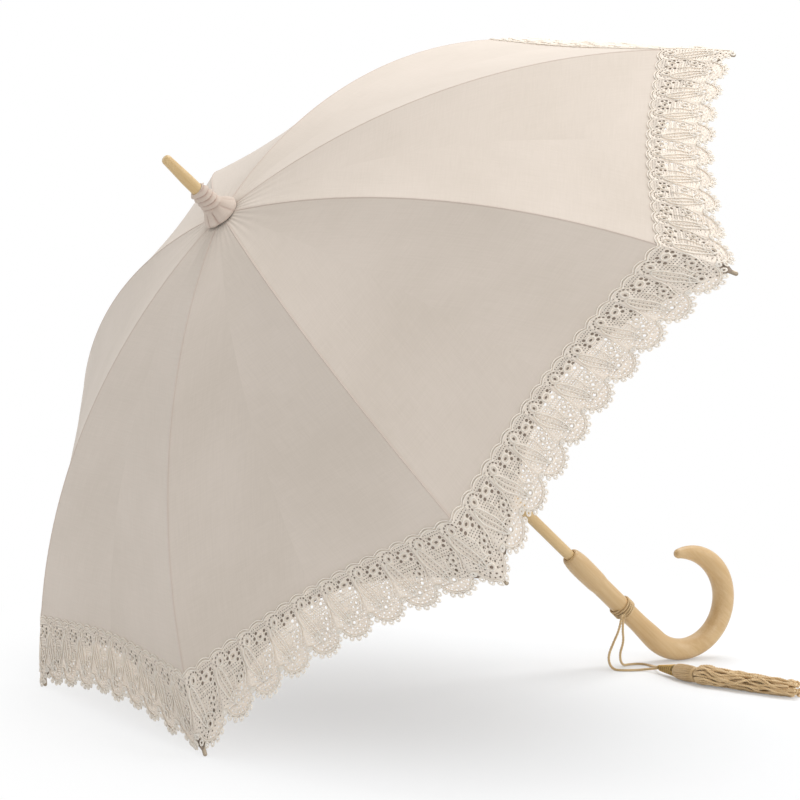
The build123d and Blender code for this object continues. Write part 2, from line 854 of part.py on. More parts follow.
skirt_sections = [           # share of the length, half width, half height, centre height
    (0.0, 4.6, 4.6, 8.1),
    (0.1, 8.0, 7.2, 8.3),
    (0.35, 9.0, 7.4, 8.0),
    (0.75, 10.5, 6.8, 7.3),
    (1.0, 9.5, 5.6, 6.2),
]
with BuildPart() as tassel_skirt:
    flat_run = Vector(skirt_end.X - tassel_neck.X, skirt_end.Y - tassel_neck.Y, 0)
    for share, half_width, half_height, height in skirt_sections:
        spot = tassel_neck + flat_run * share
        cut = Plane(
            origin=(spot.X, spot.Y, height),
            x_dir=Vector(0, 0, 1).cross(flat_run),
            z_dir=flat_run,
        )
        with BuildSketch(cut):
            Ellipse(half_width, half_height)
    loft()
save(tassel_skirt, "tassel_skirt")

print(f"lean {degrees(lean):.3f} deg, hinge at {tuple(round(v, 3) for v in stick.origin)}")
print(f"joint {joint[0]:.2f}, {joint[1]:.2f}; link {link_length:.2f} at {link_angle:.2f} deg")
print(f"runner {runner_drop:.2f} open, {runner_closed_drop:.2f} closed")
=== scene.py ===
"""Lace parasol: a cotton canopy with a lace border, on a wooden stick with a crook handle.

Metres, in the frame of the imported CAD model: +Z up, the floor at Z = 0, +X towards the
handle. The parasol leans on two rib ends and the belly of its crook.
"""

import math
import random

import bmesh
import bpy
import numpy as np
from mathutils import Matrix, Vector


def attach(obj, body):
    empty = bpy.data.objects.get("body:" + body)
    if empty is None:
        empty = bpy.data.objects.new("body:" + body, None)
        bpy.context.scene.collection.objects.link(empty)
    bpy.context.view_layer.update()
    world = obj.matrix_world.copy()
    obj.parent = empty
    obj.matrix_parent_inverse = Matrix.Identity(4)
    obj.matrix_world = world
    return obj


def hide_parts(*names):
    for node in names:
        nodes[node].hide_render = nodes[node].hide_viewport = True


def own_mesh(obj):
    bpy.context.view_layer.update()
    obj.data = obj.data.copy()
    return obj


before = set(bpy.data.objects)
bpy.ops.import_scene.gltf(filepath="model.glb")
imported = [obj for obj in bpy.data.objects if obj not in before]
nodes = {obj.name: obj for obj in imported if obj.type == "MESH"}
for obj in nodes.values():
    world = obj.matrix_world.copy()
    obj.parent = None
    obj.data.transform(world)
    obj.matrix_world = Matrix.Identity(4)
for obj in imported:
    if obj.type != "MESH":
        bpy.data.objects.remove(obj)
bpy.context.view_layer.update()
MM = 0.001

# ---- where the stick and the ribs are, as in part.py ----
LEAN = math.radians(47.928)
HINGE_CENTRE = Vector((-0.2112, 0.0, 0.423636))
UP_STICK = Vector((-math.sin(LEAN), 0.0, math.cos(LEAN)))
OPEN_SIDE = Vector((math.cos(LEAN), 0.0, math.sin(LEAN)))
ACROSS = Vector((0.0, 1.0, 0.0))
RIB_COUNT = 8
RIB_AZIMUTHS = [math.radians(157.5 + 45 * n) for n in range(RIB_COUNT)]
HALF_GORE = math.pi / RIB_COUNT
CHORD = (400 * MM, -213.5 * MM)
RIB_RISE = 46 * MM
HINGE_RADIUS = 9 * MM
CHORD_LENGTH = math.hypot(*CHORD)
BOW_RADIUS = (CHORD_LENGTH**2 / 4 + RIB_RISE**2) / (2 * RIB_RISE)
CHORD_ANGLE = math.atan2(CHORD[1], CHORD[0])
BOW_HALF = math.asin(CHORD_LENGTH / 2 / BOW_RADIUS)
BOW_CENTRE = (
    HINGE_RADIUS + CHORD[0] / 2 + (BOW_RADIUS - RIB_RISE) * math.sin(CHORD_ANGLE),
    CHORD[1] / 2 - (BOW_RADIUS - RIB_RISE) * math.cos(CHORD_ANGLE),
)
BOW_START = CHORD_ANGLE + math.pi / 2 + BOW_HALF
RIB_LENGTH = 2 * BOW_HALF * BOW_RADIUS
CLOTH_RISE = 2.6 * MM       # outer face of the cloth above a rib's centre line


def radial(azimuth):
    """Direction away from the stick."""
    return OPEN_SIDE * math.cos(azimuth) + ACROSS * math.sin(azimuth)


def on_stick(radius, height, azimuth):
    """Point at a radius, height and azimuth round the stick."""
    return HINGE_CENTRE + radial(azimuth) * radius + UP_STICK * height


# ---- materials: one function turns sRGB hex to linear, one adds a node ----
def linear(hex_colour):
    """sRGB hex to linear RGBA."""
    parts = [int(hex_colour[n : n + 2], 16) / 255 for n in (1, 3, 5)]
    return (*(p / 12.92 if p <= 0.04045 else ((p + 0.055) / 1.055) ** 2.4 for p in parts), 1)


def add_node(tree, kind, settings=None, links=None):
    """Add a node; settings and links are by input name or number, or a node property."""
    node = tree.nodes.new("ShaderNode" + kind)
    for name, value in (settings or {}).items():
        if isinstance(name, int) or name in node.inputs:
            node.inputs[name].default_value = value
        else:
            setattr(node, name, value)
    for name, socket in (links or {}).items():
        tree.links.new(socket, node.inputs[name])
    return node


def blank_material(name):
    """A material with an empty node tree."""
    material = bpy.data.materials.new(name)
    material.use_nodes = True
    material.node_tree.nodes.clear()
    return material, material.node_tree


def finish_thin_cloth(tree, colour, normal, through_share, finish):
    """End a cloth's tree: a matt face, and a share of the light that passes through it."""
    front = add_node(tree, "BsdfPrincipled", finish, {"Base Color": colour, "Normal": normal})
    through = add_node(tree, "BsdfTranslucent", {}, {"Color": colour, "Normal": normal})
    mixed = add_node(tree, "MixShader", {0: through_share},
                     {1: front.outputs[0], 2: through.outputs[0]})
    add_node(tree, "OutputMaterial", {}, {"Surface": mixed.outputs[0]})


def cotton_poplin(name, light, dark):
    """Dyed cotton poplin: matt, fine slubs along both threads, faint crossing ribs."""
    material, tree = blank_material(name)
    on_cloth = {"Vector": add_node(tree, "UVMap", {"uv_map": "threads"}).outputs["UV"]}
    # Slubs are 1.5 mm wide and 25 mm long, along the warp and along the weft.
    slubs = []
    for stretch in ((660.0, 40.0, 1.0), (40.0, 660.0, 1.0)):
        place = add_node(tree, "Mapping", {"Scale": stretch}, on_cloth)
        slub = add_node(tree, "TexNoise", {"Scale": 1.0, "Detail": 3.0},
                        {"Vector": place.outputs["Vector"]})
        slubs.append(slub.outputs["Fac"])
    both = add_node(tree, "Math", {"operation": "ADD"}, {0: slubs[0], 1: slubs[1]})
    uneven = add_node(tree, "TexNoise", {"Scale": 9.0, "Detail": 4.0}, on_cloth)
    mottle = add_node(tree, "Math", {"operation": "MULTIPLY_ADD", 1: 0.45},
                      {0: both.outputs[0], 2: uneven.outputs["Fac"]})
    share = add_node(tree, "MapRange",
                     {"From Min": 0.72, "From Max": 1.2}, {"Value": mottle.outputs[0]})
    body = add_node(tree, "Mix", {"data_type": "RGBA", 6: linear(dark), 7: linear(light)},
                    {0: share.outputs["Result"]})
    # Painted shade: the stitched groove beside each rib seam and the crown's pleat creases are mixed
    # towards a darker pink, the darkening standing in for shade, the pink the seam's own.
    painted_crease_shade = add_node(tree, "Attribute", {"attribute_name": "painted_crease_shade"})
    crease_shaded = add_node(tree, "Mix", {"data_type": "RGBA", 7: linear("#bfa598")},
                      {0: painted_crease_shade.outputs["Fac"], 6: body.outputs[2]})
    # Poplin has about 40 threads per cm; one crossing rib per 1 mm is drawn so it shows.
    ribs = []
    for direction in ("X", "Y"):
        rib = add_node(tree, "TexWave",
                       {"bands_direction": direction, "Scale": 314.0, "Distortion": 0.6}, on_cloth)
        ribs.append(rib.outputs["Fac"])
    weave = add_node(tree, "Math", {"operation": "MULTIPLY"}, {0: ribs[0], 1: ribs[1]})
    height = add_node(tree, "Math", {"operation": "MULTIPLY_ADD", 1: 0.6},
                      {0: both.outputs[0], 2: weave.outputs[0]})
    bump = add_node(tree, "Bump", {"Strength": 0.35, "Distance": 0.12 * MM},
                    {"Height": height.outputs[0]})
    finish_thin_cloth(tree, crease_shaded.outputs[2], bump.outputs["Normal"], 0.10,
                      {"Roughness": 0.88, "IOR": 1.5, "Specular IOR Level": 0.25,
                       "Sheen Weight": 0.15, "Sheen Roughness": 0.5})
    return material


def cotton_lace(name):
    """Chemical lace in mercerised cotton: pale, fuzzy thread that lets light through."""
    material, tree = blank_material(name)
    on_piece = {"Vector": add_node(tree, "TexCoord").outputs["Object"]}
    # Stitches lie about 0.5 mm apart; they are drawn at 1 mm so that they show.
    stitches = add_node(tree, "TexNoise", {"Scale": 950.0, "Detail": 2.0}, on_piece)
    patches = add_node(tree, "TexNoise", {"Scale": 60.0, "Detail": 2.0}, on_piece)
    raised = add_node(tree, "Attribute", {"attribute_name": "raised"})
    shade = add_node(tree, "Math", {"operation": "MULTIPLY_ADD", 1: 0.5},
                     {0: patches.outputs["Fac"], 2: raised.outputs["Fac"]})
    body = add_node(tree, "Mix", {"data_type": "RGBA", 6: linear("#fbf0e3"), 7: linear("#fff9f0")},
                    {0: shade.outputs[0]})
    bump = add_node(tree, "Bump", {"Strength": 0.3, "Distance": 0.12 * MM},
                    {"Height": stitches.outputs["Fac"]})
    finish_thin_cloth(tree, body.outputs[2], bump.outputs["Normal"], 0.24,
                      {"Roughness": 0.8, "IOR": 1.5, "Specular IOR Level": 0.3, "Sheen Weight": 0.3,
                       "Sheen Roughness": 0.6, "Sheen Tint": linear("#fff2e2")})
    return material


def satin_wood(name, light, dark, fleck, coat):
    """Turned and bent beech or maple under a thin satin varnish: fine grain along it."""
    material, tree = blank_material(name)
    place = add_node(tree, "TexCoord")
    # Turned so that its own Z runs up the stick.
    along = add_node(tree, "Mapping", {"Rotation": (0.0, LEAN, 0.0), "vector_type": "POINT"},
                     {"Vector": place.outputs["Object"]})
    along_grain = {"Vector": along.outputs["Vector"]}
    # Growth lines every 1.5 mm, drawn out 60 mm along the grain.
    stretched = add_node(tree, "Mapping", {"Scale": (650.0, 650.0, 16.0)}, along_grain)
    lines = add_node(tree, "TexNoise",
                     {"Scale": 1.0, "Detail": 4.0, "Roughness": 0.6, "Distortion": 0.4},
                     {"Vector": stretched.outputs["Vector"]})
    broad = add_node(tree, "Mapping", {"Scale": (120.0, 120.0, 9.0)}, along_grain)
    bands = add_node(tree, "TexNoise", {"Scale": 1.0, "Detail": 2.0},
                     {"Vector": broad.outputs["Vector"]})
    grain = add_node(tree, "Math", {"operation": "ADD"},
                     {0: lines.outputs["Fac"], 1: bands.outputs["Fac"]})
    share = add_node(tree, "MapRange", {"From Min": 0.75, "From Max": 1.3},
                     {"Value": grain.outputs[0]})
    body = add_node(tree, "Mix",
                    {"data_type": "RGBA", 6: linear(dark), 7: linear(light)},
                    {0: share.outputs["Result"]})
    # Beech's short medullary flecks: 0.5 mm wide, 3 mm long.
    small = add_node(tree, "Mapping", {"Scale": (1500.0, 1500.0, 260.0)}, along_grain)
    flecks = add_node(tree, "TexVoronoi", {"Scale": 1.0}, {"Vector": small.outputs["Vector"]})
    spot = add_node(tree, "MapRange",
                    {"From Min": 0.12, "From Max": 0.3, "To Min": 0.2, "To Max": 0.0},
                    {"Value": flecks.outputs["Distance"]})
    flecked = add_node(tree, "Mix", {"data_type": "RGBA", 7: linear(fleck)},
                       {0: spot.outputs["Result"], 6: body.outputs[2]})
    bump = add_node(tree, "Bump", {"Strength": 0.05, "Distance": 0.1 * MM},
                    {"Height": lines.outputs["Fac"]})
    rough = add_node(tree, "MapRange", {"To Min": 0.42, "To Max": 0.55},
                     {"Value": lines.outputs["Fac"]})
    surface = add_node(tree, "BsdfPrincipled",
                       {"IOR": 1.5, "Coat Weight": coat, "Coat Roughness": 0.35},
                       {"Base Color": flecked.outputs[2], "Roughness": rough.outputs["Result"],
                        "Normal": bump.outputs["Normal"]})
    add_node(tree, "OutputMaterial", {}, {"Surface": surface.outputs[0]})
    return material


def drawn_metal(name, light, dark, metallic, roughness):
    """Drawn or pressed metal: fine scratches, a little tarnish in soft patches."""
    material, tree = blank_material(name)
    on_piece = {"Vector": add_node(tree, "TexCoord").outputs["Object"]}
    # Tarnish patches about 8 mm across, scratches 0.3 mm apart.
    patches = add_node(tree, "TexNoise", {"Scale": 120.0, "Detail": 4.0}, on_piece)
    scratches = add_node(tree, "TexNoise", {"Scale": 3000.0, "Detail": 2.0}, on_piece)
    body = add_node(tree, "Mix", {"data_type": "RGBA", 6: linear(light), 7: linear(dark)},
                    {0: patches.outputs["Fac"]})
    rough = add_node(tree, "MapRange", {"To Min": roughness - 0.08, "To Max": roughness + 0.12},
                     {"Value": patches.outputs["Fac"]})
    bump = add_node(tree, "Bump", {"Strength": 0.15, "Distance": 0.05 * MM},
                    {"Height": scratches.outputs["Fac"]})
    surface = add_node(tree, "BsdfPrincipled", {"Metallic": metallic},
                       {"Base Color": body.outputs[2], "Roughness": rough.outputs["Result"],
                        "Normal": bump.outputs["Normal"]})
    add_node(tree, "OutputMaterial", {}, {"Surface": surface.outputs[0]})
    return material


def twisted_rayon(name, light, dark, sheen):
    """Twisted rayon or gold-wound cord: silky thread, darker between its plies."""
    material, tree = blank_material(name)
    on_piece = {"Vector": add_node(tree, "TexCoord").outputs["Object"]}
    threads = add_node(tree, "TexNoise", {"Scale": 1400.0, "Detail": 3.0}, on_piece)
    patches = add_node(tree, "TexNoise", {"Scale": 90.0, "Detail": 2.0}, on_piece)
    both = add_node(tree, "Math", {"operation": "ADD"},
                    {0: threads.outputs["Fac"], 1: patches.outputs["Fac"]})
    share = add_node(tree, "MapRange", {"From Min": 0.7, "From Max": 1.3},
                     {"Value": both.outputs[0]})
    body = add_node(tree, "Mix",
                    {"data_type": "RGBA", 6: linear(dark), 7: linear(light)},
                    {0: share.outputs["Result"]})
    bump = add_node(tree, "Bump", {"Strength": 0.4, "Distance": 0.1 * MM},
                    {"Height": threads.outputs["Fac"]})
    surface = add_node(tree, "BsdfPrincipled",
                       {"Roughness": 0.55, "IOR": 1.48, "Sheen Weight": sheen,
                        "Sheen Roughness": 0.4},
                       {"Base Color": body.outputs[2], "Normal": bump.outputs["Normal"]})
    add_node(tree, "OutputMaterial", {}, {"Surface": surface.outputs[0]})
    return material


poplin = cotton_poplin("cotton poplin, dyed", "#e1d5c9", "#d9cdc0")
crown_poplin = cotton_poplin("cotton poplin, pleated at the crown", "#dccdc0", "#d0bfb1")
lining_taupe = cotton_poplin("polyester taffeta lining, taupe", "#a89a8c", "#988a7c")
lace_cotton = cotton_lace("chemical lace, mercerised cotton")
handle_wood = satin_wood("beech, bent and satin varnished", "#d2b487", "#c5a26f", "#ae8753", 0.3)
stick_wood = satin_wood("ramin dowel, satin varnished", "#d6b886", "#c7a46e", "#ae8653", 0.25)
ferrule_wood = satin_wood("maple, turned and satin varnished", "#d4b98a", "#c6a56f", "#b38c56", 0.3)
rib_steel = drawn_metal("steel wire, lacquered white", "#d9d4cb", "#c9c3b8", 0.0, 0.4)
notch_brass = drawn_metal("brass, pressed and nickel plated", "#c9c4b9", "#a9a396", 1.0, 0.32)
tip_metal = drawn_metal("zinc rib tip, cast and nickel plated", "#b9ab98", "#8f8270", 1.0, 0.38)
spring_steel = drawn_metal("spring steel wire, bright", "#cfcdc8", "#aeaaa3", 1.0, 0.25)
tan_cord = twisted_rayon("rayon cord, twisted", "#dcc195", "#bfa173", 0.2)
tassel_cord = twisted_rayon("rayon tassel cord, twisted", "#efd3a6", "#d6b685", 0.3)
head_thread = twisted_rayon("rayon thread, wound over the tassel head", "#dcc094", "#bf9f70", 0.3)
# Painted shade: this dark brown shows between the gilt turns of the tassel cap as the dark of the
# grooves between them.
groove_shade_brown = twisted_rayon("core under the gilt wire, painted as groove shade", "#8e7440", "#6f5a30", 0.0)
gold_thread = drawn_metal("gilt wire, wound", "#d9b877", "#b8934f", 0.35, 0.45)

# The first of these beginnings that fits a node's name gives its material.
FINISHES = {
    "handle": handle_wood, "shaft": stick_wood, "ferrule": ferrule_wood,
    "top_spring": spring_steel, "bottom_spring": spring_steel, "notch_pin": spring_steel,
    "notch_wire": spring_steel, "runner_wire": spring_steel,
    "runner": notch_brass, "top_notch": notch_brass,
    "rib_tip": tip_metal, "rib": rib_steel, "stretcher": rib_steel, "": tan_cord,
}
for label, node in nodes.items():
    finish = next(made for start, made in FINISHES.items() if label.startswith(start))
    for place_in_node in node.material_slots:
        place_in_node.material = finish

# ---- camera ----
camera = bpy.data.objects.new("camera", bpy.data.cameras.new("camera"))
bpy.context.scene.collection.objects.link(camera)
bpy.context.scene.camera = camera
look = Vector((0.4945, 0.8599, -0.1264)).normalized()
level = Vector((0.8675, -0.4973, 0.0103))
level = (level - look * level.dot(look)).normalized()
head = level.cross(look)
camera.matrix_world = Matrix.Translation((-1.623, -2.756, 0.663)) @ Matrix(
    (level, head, -look)
).transposed().to_4x4()
camera.data.lens = 165.3
camera.data.sensor_width = 36
camera.data.clip_start, camera.data.clip_end = 0.1, 60


# ---- cords, curves and meshes ----
def new_piece(name, mesh, material, body):
    """Link a mesh as one of the parasol's pieces, riding on a CAD body."""
    piece = bpy.data.objects.new(name, mesh)
    bpy.context.scene.collection.objects.link(piece)
    mesh.materials.clear()
    mesh.materials.append(material)
    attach(piece, body)
    return piece


def as_mesh(shape, name):
    """A bmesh as a mesh; the bmesh is freed."""
    mesh = bpy.data.meshes.new(name)
    shape.to_mesh(mesh)
    shape.free()
    return mesh


def mesh_of(curve):
    """What a curve looks like as a mesh; the curve is removed."""
    holder = bpy.data.objects.new("curve", curve)
    bpy.context.scene.collection.objects.link(holder)
    bpy.context.view_layer.update()
    mesh = bpy.data.meshes.new_from_object(
        holder.evaluated_get(bpy.context.evaluated_depsgraph_get())
    )
    bpy.data.objects.remove(holder)
    bpy.data.curves.remove(curve)
    return mesh


def lines_mesh(lines, closed=False, bevel=0.0, flat=False, bevel_resolution=1):
    """Mesh of straight-sided lines: bare, as round cords, or filled where flat."""
    curve = bpy.data.curves.new("lines", "CURVE")
    curve.dimensions = "2D" if flat else "3D"
    curve.fill_mode = "BOTH" if flat else "FULL"
    curve.bevel_depth = bevel
    curve.bevel_resolution = bevel_resolution
    curve.use_fill_caps = not closed and not flat
    for line in lines:
        spline = curve.splines.new("POLY")
        spline.points.add(len(line) - 1)
        for point, place in zip(spline.points, line):
            point.co = (*place, 0.0)[:3] + (1.0,)
        spline.use_cyclic_u = closed
    return mesh_of(curve)


def route_line(route):
    """Points along the smooth NURBS spline that a cord's route gives."""
    curve = bpy.data.curves.new("route", "CURVE")
    curve.dimensions = "3D"
    curve.resolution_u = 10
    spline = curve.splines.new("NURBS")
    spline.points.add(len(route) - 1)
    for point, place in zip(spline.points, route):
        point.co = (*place, 1.0)
    spline.order_u = 3
    spline.use_endpoint_u = True
    mesh = mesh_of(curve)
    line = [vertex.co.copy() for vertex in mesh.vertices]
    bpy.data.meshes.remove(mesh)
    return line


def evenly(line, spacing):
    """The same line with points at an even spacing."""
    gaps = [(after - before).length for before, after in zip(line, line[1:])]
    run = np.concatenate([[0.0], np.cumsum(gaps)])
    count = max(2, int(run[-1] / spacing) + 1)
    places = np.linspace(0, run[-1], count)
    columns = [np.interp(places, run, [point[axis] for point in line]) for axis in range(3)]
    return [Vector(point) for point in zip(*columns)]


def plies(line, offset, pitch, count, start=0.0):
    """Lines of the plies twisted round a line, by carrying one side vector along it."""
    side = (line[1] - line[0]).orthogonal().normalized()
    strands = [[] for _ in range(count)]
    gone = 0.0
    for index, point in enumerate(line):
        ahead = line[min(index + 1, len(line) - 1)] - line[max(index - 1, 0)]
        ahead.normalize()
        side = (side - ahead * side.dot(ahead)).normalized()
        other = ahead.cross(side)
        for ply in range(count):
            turn = start + 2 * math.pi * (gone / pitch + ply / count)
            strands[ply].append(point + (side * math.cos(turn) + other * math.sin(turn)) * offset)
        if index + 1 < len(line):
            gone += (line[index + 1] - point).length
    return strands


# ---- the two limp strands from the grip to the tassel ----
STRAND_A = [
    (0.1909, -0.0100, 0.0500),
    (0.1882, -0.0115, 0.0380),
    (0.1815, -0.0110, 0.0250),
    (0.1765, -0.0095, 0.0115),
    (0.1785, -0.0140, 0.0011),
    (0.1870, -0.0220, 0.0011),
    (0.1985, -0.0265, 0.0011),
    (0.2075, -0.0310, 0.0022),
    (0.2092, -0.0425, 0.0049),
]
STRAND_B = [
    (0.1934, -0.0092, 0.0500),
    (0.1913, -0.0106, 0.0375),
    (0.1934, -0.0102, 0.0250),
    (0.1905, -0.0075, 0.0125),
    (0.1955, -0.0045, 0.0014),
    (0.2070, -0.0005, 0.0011),
    (0.2190, -0.0035, 0.0011),
    (0.2205, -0.0160, 0.0011),
    (0.2160, -0.0280, 0.0026),
    (0.2113, -0.0415, 0.0056),
]
STRAND_PLY = 0.7 * MM       # radius of one of a strand's two plies
PLY_LOWEST = 0.72 * MM      # a ply's middle: it lies on the floor, never in it
for letter, route in (("a", STRAND_A), ("b", STRAND_B)):
    centre_line = evenly(route_line(route), 0.6 * MM)
    pair = plies(centre_line, 0.62 * MM, 5 * MM, 2)
    for ply in pair:
        for point in ply:
            point.z = max(point.z, PLY_LOWEST)
    twisted = lines_mesh(pair, bevel=STRAND_PLY)
    strand = new_piece(f"tassel_strand_{letter}", twisted, tan_cord, "shaft")
    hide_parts(f"tassel_cord_{letter}")

# ---- floor and light ----
SHADE_CENTRE = (0.08, -0.06, 0.0)   # the floor's shade is kept round this place
SHADE_REACH = 0.64                  # and is gone this far from it


def seen_directly(tree):
    """A tree's light path, and 1 for what the camera sees straight or mirrored."""
    path = add_node(tree, "LightPath")
    seen = add_node(tree, "Math", {"operation": "MAXIMUM"},
                    {0: path.outputs["Is Camera Ray"], 1: path.outputs["Is Glossy Ray"]})
    return path, seen


floor_shape = bmesh.new()
bmesh.ops.create_grid(floor_shape, x_segments=2, y_segments=2, size=14)
floor_mesh = as_mesh(floor_shape, "floor")
floor = bpy.data.objects.new("floor", floor_mesh)
bpy.context.scene.collection.objects.link(floor)
floor_paint, floor_tree = blank_material("matt studio paper")
paper = add_node(floor_tree, "BsdfDiffuse", {"Color": linear("#f2f4f6")})
glow = add_node(floor_tree, "Emission", {"Color": (1.0, 1.0, 1.0, 1.0)})
# Away from the parasol the paper runs out to plain white; only what is looked at is lifted.
floor_place = add_node(floor_tree, "TexCoord")
distance = add_node(floor_tree, "VectorMath", {"operation": "DISTANCE", 1: SHADE_CENTRE},
                    {0: floor_place.outputs["Object"]})
fade = add_node(floor_tree, "MapRange",
                {"interpolation_type": "SMOOTHSTEP",
                 "From Min": 0.0, "From Max": SHADE_REACH, "To Min": 0.1, "To Max": 1.0},
                {"Value": distance.outputs["Value"]})
looked_at = seen_directly(floor_tree)[1]
white_share = add_node(floor_tree, "Math", {"operation": "MULTIPLY"},
                       {0: fade.outputs["Result"], 1: looked_at.outputs[0]})
floor_mix = add_node(floor_tree, "MixShader", {},
                     {0: white_share.outputs[0], 1: paper.outputs[0], 2: glow.outputs[0]})
add_node(floor_tree, "OutputMaterial", {}, {"Surface": floor_mix.outputs[0]})
floor_mesh.materials.append(floor_paint)

world = bpy.data.worlds.new("studio")
bpy.context.scene.world = world
world.use_nodes = True
sky = world.node_tree
sky.nodes.clear()
path, seen = seen_directly(sky)
seen_too = add_node(sky, "Math", {"operation": "MAXIMUM"},
                    {0: seen.outputs[0], 1: path.outputs["Is Transmission Ray"]})
soft = add_node(sky, "Background", {"Color": (1.0, 1.0, 1.0, 1.0), "Strength": 0.62})
white = add_node(sky, "Background", {"Color": (1.0, 1.0, 1.0, 1.0), "Strength": 1.0})
chosen = add_node(sky, "MixShader", {},
                  {0: seen_too.outputs[0], 1: soft.outputs[0], 2: white.outputs[0]})
add_node(sky, "OutputWorld", {}, {"Surface": chosen.outputs[0]})
bpy.context.scene.view_settings.view_transform = "Standard"


def soft_box(name, place, size, power):
    """A large square lamp that points at the parasol's middle."""
    lamp = bpy.data.lights.new(name, "AREA")
    lamp.shape = "SQUARE"
    lamp.size = size
    lamp.energy = power
    holder = bpy.data.objects.new(name, lamp)
    bpy.context.scene.collection.objects.link(holder)
    holder.location = place
    holder.rotation_euler = (PARASOL_MIDDLE - Vector(place)).to_track_quat("-Z", "Y").to_euler()


PARASOL_MIDDLE = Vector((0, 0, 0.2))
soft_box("overhead box", (0.7, 0.4, 2.4), 1.5, 35)
soft_box("back left box", (-1.9, 2.4, 1.1), 1.6, 12)
soft_box("front box", (-0.3, -2.9, 1.5), 1.6, 18)
soft_box("right box", (2.2, -1.6, 1.6), 1.6, 16)


# ---- the shape of the canopy ----
HEM = (0.838, 0.86, 1.6)        # share of the rib's length mid-gore and at a rib, power
LINING_HEM = (0.857, 0.99, 1.8)
LACE_EDGE = (0.958, 1.0, 2.0)
CROWN_SHARE = -0.004
SAG = 4.5 * MM                  # how far the cloth pulls in between two ribs
CLOTH_GRID = (72, 64)           # faces across and along one section
LINING_GRID = (40, 40)


def hem_share(x, edge):
    """Share of the rib's length of a hem; x is 0 over the rib and 1 mid-gore."""
    middle, rib, power = edge
    return middle + (rib - middle) * (1 - np.abs(x)) ** power


def sheet_point(x, share, azimuth, rise=CLOTH_RISE):
    """Rows of points on the stretched cloth; x runs from -1 to 1 across a rib's section."""
    angle = BOW_START - share * RIB_LENGTH / BOW_RADIUS
    reach = BOW_RADIUS + rise
    radius = BOW_CENTRE[0] + reach * np.cos(angle)
    height = BOW_CENTRE[1] + reach * np.sin(angle)
    side = np.where(x < 0, -1.0, 1.0)
    lateral = 1 - np.abs(x)
    # The cloth pulls straighter than the ribs between them, so mid-gore lies lower.
    sag = SAG * (1 - lateral**2) * np.sin(np.pi * np.clip(share / 0.93, 0, 1))
    middle = azimuth + side * HALF_GORE
    across = radius * math.cos(HALF_GORE) - sag * 0.6
    sideways = -side * lateral * radius * math.sin(HALF_GORE)
    height = height - sag * 0.8
    out = across[:, None] * (
        np.cos(middle)[:, None] * np.array(OPEN_SIDE) + np.sin(middle)[:, None] * np.array(ACROSS)
    )
    out += sideways[:, None] * (
        -np.sin(middle)[:, None] * np.array(OPEN_SIDE)
        + np.cos(middle)[:, None] * np.array(ACROSS)
    )
    return np.array(HINGE_CENTRE) + out + height[:, None] * np.array(UP_STICK)


def lifted(x, share, azimuth, lift):
    """Points a little way off the stretched cloth, along its outward normal."""
    step_x, step_s = 0.004, 0.002
    over = np.clip(x + step_x, -1, 1)
    under = np.clip(x - step_x, -1, 1)
    across = sheet_point(over, share, azimuth) - sheet_point(under, share, azimuth)
    along = sheet_point(x, share + step_s, azimuth) - sheet_point(x, share - step_s, azimuth)
    normal = np.cross(along, across)
    normal /= np.linalg.norm(normal, axis=1)[:, None]
    return sheet_point(x, share, azimuth) + normal * lift[:, None]


def vertex_rows(mesh):
    """A mesh's vertex places as rows."""
    rows = np.zeros(len(mesh.vertices) * 3, np.float32)
    mesh.vertices.foreach_get("co", rows)
    return rows.reshape(-1, 3).astype(float)


def put_rows(mesh, rows):
    """Write vertex places back."""
    mesh.vertices.foreach_set("co", rows.astype(np.float32).ravel())
    mesh.update()


def layered_grid(across, along):
    """A flat grid of two layers, z 0 and -1, closed round its edges, which stay crisp."""
    shape = bmesh.new()
    bmesh.ops.create_grid(shape, x_segments=across, y_segments=along, size=1)
    made = bmesh.ops.extrude_face_region(shape, geom=shape.faces[:], use_keep_orig=True)
    lower = [item for item in made["geom"] if isinstance(item, bmesh.types.BMVert)]
    bmesh.ops.translate(shape, verts=lower, vec=(0, 0, -1))
    bmesh.ops.recalc_face_normals(shape, faces=shape.faces)
    for edge in shape.edges:
        upright = [abs(face.normal.z) < 0.5 for face in edge.link_faces]
        edge.smooth = upright[0] == upright[1]
    for face in shape.faces:
        face.smooth = True
    return shape


def face_out(mesh):
    """Turn every face of a closed mesh outwards."""
    shape = bmesh.new()
    shape.from_mesh(mesh)
    if shape.calc_volume(signed=True) < 0:
        bmesh.ops.reverse_faces(shape, faces=shape.faces)
    shape.to_mesh(mesh)
    shape.free()


